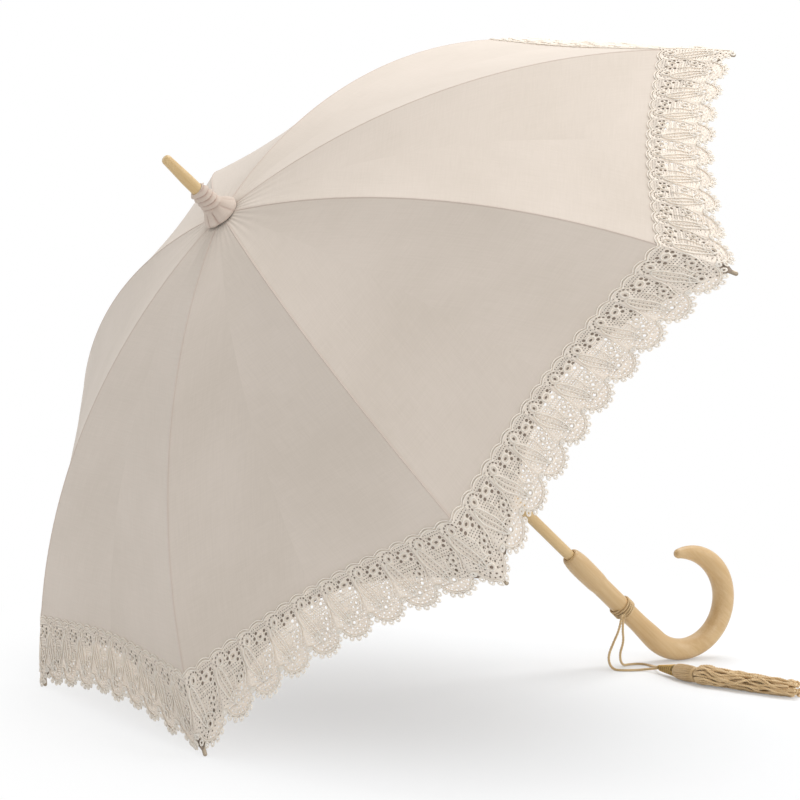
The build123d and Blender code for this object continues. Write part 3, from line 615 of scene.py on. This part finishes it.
def cloth_section(number, lining):
    """One rib's share of the cloth, or of its lining, from mid-gore to mid-gore."""
    azimuth = RIB_AZIMUTHS[number - 1]
    name = f"{'lining' if lining else 'canopy_cloth'}_{number}"
    mesh = as_mesh(layered_grid(*(LINING_GRID if lining else CLOTH_GRID)), name)
    grid = vertex_rows(mesh)
    # The grid crowds towards the rib and towards the crown.
    x = np.sign(grid[:, 0]) * np.abs(grid[:, 0]) ** 2.1
    down = ((grid[:, 1] + 1) / 2) ** 1.25
    share = CROWN_SHARE + down * (hem_share(x, LINING_HEM if lining else HEM) - CROWN_SHARE)
    from_stick = np.maximum(share, 0.0) * RIB_LENGTH
    half_width = (HINGE_RADIUS + from_stick * 0.93) * math.sin(HALF_GORE)
    from_rib = np.abs(x) * half_width
    # A felled seam stands 0.2 mm proud over the rib, with a stitched groove each side.
    ridge = 0.2 * MM * np.exp(-((from_rib / (0.6 * MM)) ** 2))
    groove = -0.1 * MM * np.exp(-(((from_rib - 1.3 * MM) / (0.5 * MM)) ** 2))
    # Gathers radiate from the crown, and a tenth of their height is left 60 mm from it.
    turn = x * HALF_GORE + azimuth
    gathers = np.cos(turn * 40 + 2.1 * np.sin(turn * 3)) * 0.4 * MM
    gathers *= np.exp(-from_stick / (26 * MM)) * np.clip(from_rib / (1.5 * MM), 0, 1)
    # Long shallow tension waves run from rib to rib, steepest near the hem.
    taut = np.sin(np.pi * np.abs(x) / 2) ** 2 * share
    tension = 0.4 * MM * np.sin(share * 41 + np.cos(turn * 8) * 3) * taut
    if lining:
        lift = -0.6 * MM - 1.3 * MM * np.exp(-from_stick / (30 * MM)) + tension
    else:
        lift = gathers + tension + ridge + groove
    lift += grid[:, 2] * (0.2 if lining else 0.42) * MM
    put_rows(mesh, lifted(x, share, azimuth, lift))
    # Painted shade: a narrow line beside the rib, along the stitched seam, is marked to be darkened.
    painted_crease_shade = mesh.attributes.new("painted_crease_shade", "FLOAT", "POINT")
    painted_crease_shade.data.foreach_set(
        "value", (0.4 * np.exp(-(((from_rib - 0.7 * MM) / (0.5 * MM)) ** 2))).astype(np.float32)
    )
    threads = mesh.uv_layers.new(name="threads")
    for loop in mesh.loops:
        v = loop.vertex_index
        threads.data[loop.index].uv = (
            math.copysign(from_rib[v], x[v]) + number * 0.37,
            from_stick[v],
        )
    face_out(mesh)
    finish = lining_taupe if lining else poplin
    return new_piece(name, mesh, finish, f"rib_{number}")


# ---- the lace border, drawn flat and then laid on the canopy ----
REPEAT = 31.0                   # width of one repeat of the pattern, in millimetres
CELLS = 9.5                     # repeats from rib to rib
DEPTH = 54.0                    # from the cloth's hem to the outer edge
ALL_CELLS = CELLS * RIB_COUNT


def turned_place(centre, a, b, turn):
    """The place a and b from a centre, in axes turned by an angle."""
    return (
        centre[0] + a * math.cos(turn) - b * math.sin(turn),
        centre[1] + a * math.sin(turn) + b * math.cos(turn),
    )


def ring(centre, width, height, points, turn=0.0):
    """Points round an ellipse, in millimetres on the flat lace."""
    angles = [2 * math.pi * n / points for n in range(points)]
    return [
        turned_place(centre, width * math.cos(angle), height * math.sin(angle), turn)
        for angle in angles
    ]


def spots_round(centre, reach, count, first, last):
    """Places at an even spacing along an arc; reach is a radius or two half widths."""
    wide, high = reach if isinstance(reach, tuple) else (reach, reach)
    turns = np.radians(np.linspace(first, last, count))
    return [(centre[0] + wide * math.cos(t), centre[1] + high * math.sin(t)) for t in turns]


def top_hump(a):
    """The wavy upper edge: two low humps to a repeat, over the cloth's hem."""
    return -1.2 - 3.2 * abs(math.sin(2 * math.pi * (a + 2.0) / REPEAT)) ** 0.7


SCALLOP_CENTRE = (0.0, 36.5)
SCALLOP_RADIUS = 14.6
SMALL_RING = (-7.0, 5.6)
ROSETTE = (6.6, 8.6)
FLOWER = (9.0, 25.5)
LOW_FLOWER = (-0.5, 39.0)


LEAF = ((-7.5, 24.0), 31.0, 8.4, math.radians(68))      # centre, length, width, turn
LEAF_BEND = 2.2
LEAF_MARGIN = 2.4               # closed ground round the leaf, on its length and width
PINHOLE = 0.55
SMALL_PINHOLE = 0.4             # in the lower part of the band
SMALL_FROM = 22
LOBE_START = 0.12               # the scallop's arc starts this far past its widest place, in radians


def leaf_bend(along, length):
    """How far the leaf's middle swings aside at a place along it."""
    return LEAF_BEND * (2 * along / length) ** 2 * math.copysign(1, along)


def leaf_outline(centre, length, width, turn):
    """A pointed leaf that bends to one side along its length."""
    line = []
    for n in range(22):
        angle = 2 * math.pi * n / 22
        a = length / 2 * math.cos(angle)
        b = width / 2 * math.sin(angle) * (1 - 0.25 * math.cos(angle))
        b += leaf_bend(a, length)
        line.append(turned_place(centre, a, b, turn))
    return line


def inside(place, outline):
    """True if a place lies inside an outline."""
    crossings = 0
    for (a, b), (c, d) in zip(outline, outline[1:] + outline[:1]):
        if (b > place[1]) != (d > place[1]):
            crossings += place[0] < (c - a) * (place[1] - b) / (d - b) + a
    return crossings % 2 == 1


def lace_holes():
    """Every hole of one repeat: the large ones, then pinholes wherever there is room."""
    holes = [
        ring(SMALL_RING, 1.0, 1.4, 8),
        ring(ROSETTE, 1.6, 1.0, 8),
        ring(FLOWER, 1.0, 1.2, 8),
        ring(LOW_FLOWER, 1.3, 1.3, 8),
    ]
    taken = [(SMALL_RING, 4.0), (ROSETTE, 4.2), (FLOWER, 3.0), (LOW_FLOWER, 3.6)]

    def pierce(place, wide, high, turn=0.0, points=8):
        """Add a hole if it clears the others and the sides of the repeat."""
        size = max(wide, high)
        room = REPEAT / 2 - abs(place[0]) > size + 0.35
        clear = all(math.dist(place, other) > size + reach * 0.92 for other, reach in taken)
        if room and clear:
            holes.append(ring(place, wide, high, points, turn))
            taken.append((place, size + 0.4))

    for place in spots_round(ROSETTE, (6.3, 5.0), 8, 10, 330):
        pierce(place, 1.5, 1.35)
    for n, place in enumerate(spots_round(SMALL_RING, 5.6, 8, 165, 375)):
        turn = math.atan2(place[1] - SMALL_RING[1], place[0] - SMALL_RING[0])
        pierce(place, 0.75, 1.15, turn, 6)
    for place in spots_round(FLOWER, (4.4, 4.6), 7, 0, 310):
        pierce(place, 0.85, 0.85)
    for place in spots_round(LOW_FLOWER, 5.2, 8, 0, 315):
        pierce(place, 0.8, 0.8)
    for place in spots_round(SCALLOP_CENTRE, 10.9, 13, -20, 200):
        pierce(place, 0.7, 0.7)
    for place in ((14.0, 12.5), (-13.9, 12.0), (13.2, 17.5), (13.8, 31.5), (6.0, 33.0)):
        pierce(place, 1.2, 1.4)
    centre, length, width, turn = LEAF
    wide_leaf = leaf_outline(centre, length + LEAF_MARGIN, width + LEAF_MARGIN, turn)
    uneven = random.Random(3)
    for row in range(21):
        b = 0.9 + row * 2.15 + uneven.uniform(-0.15, 0.15)
        for column in range(15):
            a = -REPEAT / 2 + 1.1 + column * 2.1 + (row % 2) * 1.05 + uneven.uniform(-0.3, 0.3)
            edge = b > SCALLOP_CENTRE[1] and math.dist((a, b), SCALLOP_CENTRE) > 12.4
            if edge or not 0.6 < b < 49 or inside((a, b), wide_leaf):
                continue
            size = PINHOLE if b < SMALL_FROM else SMALL_PINHOLE
            pierce((a, b), size, size, points=6)
    # The leaf's own ground is closed but for a row of slits on each side of its vein.
    for step in np.linspace(-0.36, 0.34, 9):
        for side in (-1, 1):
            along = step * length
            off = side * 1.7 + leaf_bend(along, length)
            pierce(turned_place(centre, along, off, turn), 0.7, 0.33, turn + side * 0.7, 6)
    return holes


def lace_edge():
    """Outline of one repeat, from its humped top to its scallop, sides straight."""
    half = REPEAT / 2
    top = [(a, top_hump(a)) for a in np.linspace(half, -half, 25)]
    lobe = [
        (SCALLOP_CENTRE[0] + SCALLOP_RADIUS * math.cos(t),
         SCALLOP_CENTRE[1] + SCALLOP_RADIUS * math.sin(t))
        for t in np.linspace(math.pi - LOBE_START, LOBE_START, 23)
    ]
    notch_depth = lobe[0][1] - 0.6
    return top + [(-half, notch_depth)] + lobe + [(half, notch_depth)]


def lace_cords():
    """Centre lines of one repeat's raised cords: closed ones, picots and open ones."""
    closed = [
        ring(SMALL_RING, 2.7, 3.3, 12),
        ring(ROSETTE, 3.6, 2.9, 12),
        ring(FLOWER, 2.3, 2.6, 10),
        ring(LOW_FLOWER, 2.7, 2.7, 10),
        leaf_outline(*LEAF),
    ]
    picots = [
        ring(place, 1.55, 1.55, 9)
        for place in spots_round(SCALLOP_CENTRE, SCALLOP_RADIUS + 0.9, 8, 13, 167)
    ]
    half = REPEAT / 2
    open_lines = [
        [(a, top_hump(a) + 0.4) for a in np.linspace(-half, half, 25)],
        [(a, top_hump(a) + 2.4) for a in np.linspace(-half, half, 25)],
    ]
    centre, length, _, turn = LEAF
    along_leaf = [step * length for step in np.linspace(-0.5, 0.56, 12)]
    open_lines.append([turned_place(centre, a, leaf_bend(a, length), turn) for a in along_leaf])
    # A stem swings from the rosette past the flower to the scallop's notch.
    open_lines.append([(0.5, 13.5), (2.6, 18.5), (3.0, 24.0), (1.8, 29.0), (2.6, 33.0)])
    open_lines.append([(14.5, 14.5), (15.2, 20.0), (14.2, 26.0), (11.5, 31.0), (10.5, 35.0)])
    open_lines.append(spots_round(SCALLOP_CENTRE, 13.0, 17, 8, 172))
    open_lines.append(spots_round(LOW_FLOWER, 7.4, 12, 200, 340))
    return closed, picots, open_lines


CELLS_LAID = range(-6, 7)       # enough repeats to cover a section before it is cut
FOLD_CUTS = (-1.5, 0.0, 1.5)    # cuts along the rib, so that no face bridges the fold there


def cut_band(single, shift):
    """One repeat of the lace, set side by side and cut to one section's width."""
    unit = as_mesh(single, "unit")
    band = bmesh.new()
    for cell in CELLS_LAID:
        before = len(band.verts)
        band.from_mesh(unit)
        band.verts.ensure_lookup_table()
        bmesh.ops.translate(band, verts=band.verts[before:], vec=((shift + cell) * REPEAT, 0, 0))
    bpy.data.meshes.remove(unit)
    bmesh.ops.remove_doubles(band, verts=band.verts, dist=0.002)
    half = CELLS * REPEAT / 2
    cuts = [(-half, -1, True), (half, 1, True)] + [(line, 1, False) for line in FOLD_CUTS]
    for place, way, drop_beyond in cuts:
        bmesh.ops.bisect_plane(
            band,
            geom=band.verts[:] + band.edges[:] + band.faces[:],
            dist=0.0001,
            plane_co=(place, 0, 0),
            plane_no=(way, 0, 0),
            clear_outer=drop_beyond,
        )
    return band


def flat_lace(shift):
    """The flat band for one section, as a mesh; shift moves the pattern by cells."""
    ground = bmesh.new()
    ground.from_mesh(lines_mesh([lace_edge(), *lace_holes()], closed=True, flat=True))
    bmesh.ops.remove_doubles(ground, verts=ground.verts, dist=0.001)
    closed, picots, open_lines = lace_cords()
    cords = bmesh.new()
    for lines, is_closed, width in (
        (closed, True, 0.62), (picots, True, 0.85), (open_lines, False, 0.5)
    ):
        raised = [[(a, b, 0.55) for a, b in line] for line in lines]
        cords.from_mesh(lines_mesh(raised, is_closed, bevel=width, bevel_resolution=0))
    band = cut_band(ground, shift)
    for face in band.faces:
        if face.normal.z < 0:
            face.normal_flip()
    bmesh.ops.triangulate(band, faces=band.faces)
    bmesh.ops.solidify(band, geom=band.faces[:], thickness=0.4)
    both = bmesh.new()
    both.from_mesh(as_mesh(band, "ground"))
    raised = both.verts.layers.float.new("raised")
    ground_count = len(both.verts)
    both.from_mesh(as_mesh(cut_band(cords, shift), "cords"))
    both.verts.ensure_lookup_table()
    for vertex in both.verts[ground_count:]:
        vertex[raised] = 0.75
    return as_mesh(both, "flat lace")


random.seed(7)
RIPPLES = [(k, random.uniform(0, 2 * math.pi), s) for k, s in ((29, 0.9), (47, 0.8), (71, 0.5))]
RIPPLE_HEIGHT = 2.2             # the three ripples' heights together, in millimetres


def lace_section(number, flat):
    """One rib's share of the lace, laid from the hem outwards with a slight ripple."""
    azimuth = RIB_AZIMUTHS[number - 1]
    mesh = flat.copy()
    mesh.name = f"lace_{number}"
    rows = vertex_rows(mesh)
    x = np.clip(rows[:, 0] / (CELLS * REPEAT / 2), -1, 1)
    down = rows[:, 1] / DEPTH
    hem = hem_share(x, HEM)
    share = hem + down * (hem_share(x, LACE_EDGE) - hem)
    around = CELLS * (number - 1) + rows[:, 0] / REPEAT
    ripple = sum(s * np.sin(2 * math.pi * k * around / ALL_CELLS + p) for k, p, s in RIPPLES)
    # Over the lining the lace only rises; past the lining's hem it hangs free.
    free = np.clip((share - hem_share(x, LINING_HEM)) / 0.015, 0, 1)
    ripple = free * ripple + (1 - free) * 0.3 * (ripple + RIPPLE_HEIGHT)
    lift = (0.15 + rows[:, 2]) * MM + ripple * MM * np.clip(down, 0, 1) ** 1.5
    put_rows(mesh, lifted(x, share, azimuth, lift))
    shape = bmesh.new()
    shape.from_mesh(mesh)
    bmesh.ops.recalc_face_normals(shape, faces=shape.faces)
    shape.to_mesh(mesh)
    shape.free()
    mesh.shade_smooth()
    return new_piece(f"lace_border_{number}", mesh, lace_cotton, f"rib_{number}")


flat_bands = [flat_lace(0.0), flat_lace(0.5)]
for number in range(1, RIB_COUNT + 1):
    cloth = cloth_section(number, False)
    lining = cloth_section(number, True)
    border = lace_section(number, flat_bands[(number - 1) % 2])
    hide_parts(f"canopy_{number}")
    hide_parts(f"lace_{number}")
    for piece in (cloth, lining, border):
        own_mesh(piece)
for flat in flat_bands:
    bpy.data.meshes.remove(flat)


# ---- pleated cloth at the crown ----
HALF_ROUND = 25 * MM            # half way round a crown piece, on its threads


def turned_cloth(name, around, up, shape_of, thickness, replaced):
    """A closed sleeve of cloth round the stick; shape_of gives radius, height and the painted shade
    of its creases.
    """
    shape = layered_grid(around, up)
    threads = shape.loops.layers.uv.new("threads")
    crease_shade_layer = shape.verts.layers.float.new("painted_crease_shade")
    for face in shape.faces:
        for loop in face.loops:
            loop[threads].uv = (loop.vert.co.x * HALF_ROUND, loop.vert.co.y * 14 * MM)
    for vertex in shape.verts:
        turn = (vertex.co.x + 1) * math.pi
        radius, height, vertex[crease_shade_layer] = shape_of(turn, (vertex.co.y + 1) / 2)
        radius += vertex.co.z * thickness
        vertex.co = on_stick(radius * MM, height * MM, turn)
    # The grid's two side walls meet where the sleeve closes, so they go.
    seam_walls = [face for face in shape.faces if face.calc_area() > 0 and all(
        abs(loop[threads].uv.x) > HALF_ROUND - 0.1 * MM for loop in face.loops)]
    bmesh.ops.delete(shape, geom=seam_walls, context="FACES")
    bmesh.ops.remove_doubles(shape, verts=shape.verts, dist=0.01 * MM)
    mesh = as_mesh(shape, name)
    face_out(mesh)
    piece = new_piece(name, mesh, crown_poplin, "shaft")
    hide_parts(replaced)
    return piece


def spiral_pleats(turn, up):
    """The band wound above the crown: overlapping pleats that climb round it."""
    height = 9.0 + 26.0 * up
    base = 6.2 + 1.4 * (1 - up) ** 0.35 + 2.4 * (1 - up) ** 1.6
    phase = turn / (2 * math.pi) * 2 + up * 5.5 + 0.1 * math.sin(3 * turn)
    step = phase - math.floor(phase)
    pleat = 1.7 * (1 - step) ** 1.3 * (1 - 0.3 * math.sin(2 * turn + 5 * up))
    fade = min(1.0, (1 - up) / 0.08)
    # Painted shade: a dark line along the crease under each pleat's overlapping edge.
    shade = 1.5 * math.exp(-(((1 - step) / 0.26) ** 2)) * fade
    return base - 0.25 + pleat * fade, height + 0.8 * math.sin(turn + 1.0) * up, shade


def flared_collar(turn, up):
    """The gathered collar below the band: puckers that open out to a folded rim."""
    out = 1 - up
    from_knot = (turn - 3.8 + math.pi) % (2 * math.pi) - math.pi
    knot_side = math.exp(-((from_knot / 0.9) ** 2))
    fold = abs(math.sin(turn * 4.5 + 0.9 * math.sin(turn * 2) + 0.6 * up))
    reach = math.sin(math.pi * min(1.0, 0.12 + up)) ** 0.8 if up < 0.88 else 0.0
    puckers = (fold**0.6 - 0.6) * (0.9 + 1.5 * knot_side) * reach
    radius = 8.3 + 9.2 * out**1.1 + 0.8 * knot_side * out
    # The rim is a rolled fold: the last of it turns in under itself.
    rolled = max(0.0, (0.12 - up) / 0.12)
    radius -= 1.6 * rolled**2
    height = 3.9 + 12.5 * up**0.9 - 0.7 * rolled + 0.9 * out * math.sin(turn * 2 + 0.7)
    # Painted shade in the valleys of the puckers, deepest beside the knot.
    shade = 1.2 * math.exp(-((fold / 0.22) ** 2)) * (0.35 + 0.65 * knot_side) * reach
    return radius + puckers, height, shade


band = turned_cloth("crown_band", 144, 110, spiral_pleats, 0.35, "top_wrap")
collar = turned_cloth("crown_collar", 180, 40, flared_collar, 0.5, "top_ruffle")

# ---- cord tied round the grip: four turns and an overhand knot ----
TIE_RADIUS = 9.9 * MM
TIE_HEIGHT = -551 * MM
TIE_TURNS = 4
TIE_PITCH = 2.55                # millimetres from one turn to the next
TIE_STEPS = 96
KNOT_STEPS = 60
KNOT_AZIMUTH = math.radians(228)
tie_line = [
    on_stick(
        TIE_RADIUS,
        TIE_HEIGHT
        + ((n / TIE_STEPS - 0.5) * TIE_TURNS * TIE_PITCH + 0.25 * math.sin(n * 0.21)) * MM,
        KNOT_AZIMUTH + n / TIE_STEPS * 2 * TIE_TURNS * math.pi,
    )
    for n in range(TIE_STEPS + 1)
]
tie_mesh = lines_mesh(plies(evenly(tie_line, 0.6 * MM), 0.42 * MM, 4.4 * MM, 2), bevel=0.66 * MM)
knot_centre = on_stick(11.85 * MM, TIE_HEIGHT - 1 * MM, KNOT_AZIMUTH)
outward = radial(KNOT_AZIMUTH)
beside = UP_STICK.cross(outward)
knot_line = []
for n in range(KNOT_STEPS + 1):
    t = 2 * math.pi * n / KNOT_STEPS
    knot_line.append(
        knot_centre
        + beside * (math.sin(t) + 2 * math.sin(2 * t)) * 0.75 * MM
        + UP_STICK * (math.cos(t) - 2 * math.cos(2 * t)) * 0.75 * MM
        - outward * math.sin(3 * t) * 0.9 * MM
    )
knot_mesh = lines_mesh(plies(evenly(knot_line, 0.5 * MM), 0.5 * MM, 4.4 * MM, 2), bevel=0.58 * MM)


def joined(name, meshes):
    """One mesh from several."""
    shape = bmesh.new()
    for mesh in meshes:
        shape.from_mesh(mesh)
        bpy.data.meshes.remove(mesh)
    mesh = as_mesh(shape, name)
    mesh.shade_smooth()
    return mesh


tie = new_piece("grip_tie", joined("grip_tie", [tie_mesh, knot_mesh]), tan_cord, "shaft")
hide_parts("cord_wrap")

# ---- tassel: gilt-wound cap, thread-wound head and a skirt of twisted cords ----
CAP_NOSE = Vector((210.0, -41.8, 5.2)) * MM
CAP_BASE = Vector((211.2, -69.6, 7.3)) * MM
NECK = Vector((213.8, -98.0, 8.1)) * MM
SKIRT_END = Vector((261.0, -191.0, 6.8)) * MM
WINDING_STEPS = 20              # points to one turn of a winding
HEAD_THREADS = 26
SKIRT_CORDS = 46
SKIRT_LOWEST = 1.3 * MM         # a skirt cord's middle, over the floor


def lying_axes(start, end):
    """Length, side and upward directions of a piece that lies along a line."""
    ahead = (end - start).normalized()
    side = ahead.cross(Vector((0, 0, 1))).normalized()
    return ahead, side, side.cross(ahead)


def spun_core(start, end, outline):
    """A solid of revolution along a line, from (share of length, radius in mm) pairs."""
    ahead, _, up = lying_axes(start, end)
    length = (end - start).length
    shape = bmesh.new()
    row = [shape.verts.new(start + ahead * length * s + up * r * MM) for s, r in outline]
    edges = [shape.edges.new(pair) for pair in zip(row, row[1:])]
    bmesh.ops.spin(
        shape,
        geom=row + edges,
        cent=start,
        axis=ahead,
        angle=2 * math.pi,
        steps=28,
        use_merge=True,
    )
    bmesh.ops.remove_doubles(shape, verts=shape.verts, dist=0.01 * MM)
    bmesh.ops.recalc_face_normals(shape, faces=shape.faces)
    return as_mesh(shape, "core")


def wound(start, end, outline, turns, lift):
    """A line wound round a spun core."""
    ahead, side, up = lying_axes(start, end)
    length = (end - start).length
    shares, radii = zip(*outline)
    line = []
    for n in range(turns * WINDING_STEPS + 1):
        share = shares[0] + (shares[-1] - shares[0]) * n / (turns * WINDING_STEPS)
        radius = (float(np.interp(share, shares, radii)) + lift) * MM
        turn = 2 * math.pi * n / WINDING_STEPS
        line.append(
            start + ahead * length * share + (side * math.cos(turn) + up * math.sin(turn)) * radius
        )
    return line


CAP_OUTLINE = [(0.0, 0.0), (0.0, 1.5), (0.06, 1.8), (0.3, 2.6), (0.7, 4.0), (0.96, 4.9),
               (1.0, 4.4), (1.0, 0.0)]
cap_core = spun_core(CAP_NOSE, CAP_BASE, CAP_OUTLINE)
cap_winding = lines_mesh(
    [wound(CAP_NOSE, CAP_BASE, CAP_OUTLINE[2:6], 7, 0.3)], bevel=0.58 * MM, bevel_resolution=3
)
# The core's dark brown is painted shade for the grooves between the gilt turns.
cap_inside = new_piece("tassel_cap_core", joined("tassel_cap_core", [cap_core]),
                       groove_shade_brown, "shaft")
cap = new_piece("tassel_cap_wound", joined("tassel_cap_wound", [cap_winding]),
                gold_thread, "shaft")
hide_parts("tassel_cap")

HEAD_OUTLINE = [(0.0, 0.0), (0.0, 4.6), (0.07, 5.9), (0.25, 6.6), (0.5, 6.9), (0.75, 6.8),
                (0.92, 6.1), (1.0, 5.6), (1.0, 0.0)]
head_core = spun_core(CAP_BASE, NECK, HEAD_OUTLINE)
_, side, up = lying_axes(CAP_BASE, NECK)
meridians = []
for n in range(HEAD_THREADS):
    line = []
    for share in np.linspace(0.02, 0.97, 16):
        radius = float(np.interp(share, *zip(*HEAD_OUTLINE[1:-1]))) * MM
        turn = 2 * math.pi * n / HEAD_THREADS + share * 0.5 + 0.05 * math.sin(n * 2.3 + share * 5)
        line.append(CAP_BASE + (NECK - CAP_BASE) * share
                    + (side * math.cos(turn) + up * math.sin(turn)) * radius)
    meridians.append(line)
head_threads = lines_mesh(meridians, bevel=0.72 * MM)
neck_winding = lines_mesh(
    [wound(CAP_BASE, NECK, [(0.92, 6.2), (1.03, 5.8)], 4, 0.35)], bevel=0.6 * MM
)
head_piece = new_piece("tassel_head_wound",
                       joined("tassel_head_wound", [head_core, head_threads, neck_winding]),
                       head_thread, "shaft")
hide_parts("tassel_head")

# Half width, half height and centre height in mm at shares of the skirt's length.
SKIRT_SECTIONS = np.array([
    (0.0, 5.2, 5.0, 8.1),
    (0.03, 8.0, 7.4, 9.0),
    (0.12, 9.0, 7.9, 9.5),
    (0.35, 9.2, 6.8, 8.4),
    (0.75, 10.2, 6.2, 7.8),
    (1.0, 11.0, 6.0, 7.6),
])
side = lying_axes(NECK, SKIRT_END)[1]
random.seed(11)
skirt_lines = []
for n in range(SKIRT_CORDS):
    reach = 1.0 if n % 3 else random.uniform(0.35, 0.8)
    turn = 2 * math.pi * n / SKIRT_CORDS + random.uniform(-0.1, 0.1)
    drift = random.uniform(-0.7, 0.7)
    waves = [(random.uniform(0.1, 0.3), random.uniform(7, 20), random.uniform(0, 6.3))
             for _ in range(3)]
    stop = random.uniform(0.9, 1.0)
    line = []
    for share in np.linspace(0.0, stop, 60):
        wide, high, middle = (
            float(np.interp(share, SKIRT_SECTIONS[:, 0], SKIRT_SECTIONS[:, k])) for k in (1, 2, 3)
        )
        loose = min(1.0, share * 6)
        now = turn + drift * share + loose * sum(a * math.sin(b * share + c) for a, b, c in waves)
        swell = reach * (1 + loose * 0.5 * waves[0][0] * math.sin(waves[1][1] * share + n))
        place = NECK.lerp(SKIRT_END, float(share))
        place = place + side * math.cos(now) * wide * swell * MM
        place.z = max((middle + math.sin(now) * high * swell) * MM, SKIRT_LOWEST)
        line.append(place)
    skirt_lines += plies(evenly(line, 0.8 * MM), 0.56 * MM, 5.0 * MM, 2, start=n)
skirt = new_piece("tassel_skirt_cords", lines_mesh(skirt_lines, bevel=0.68 * MM, bevel_resolution=0),
                  tassel_cord, "shaft")
skirt.data.shade_smooth()
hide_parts("tassel_skirt")
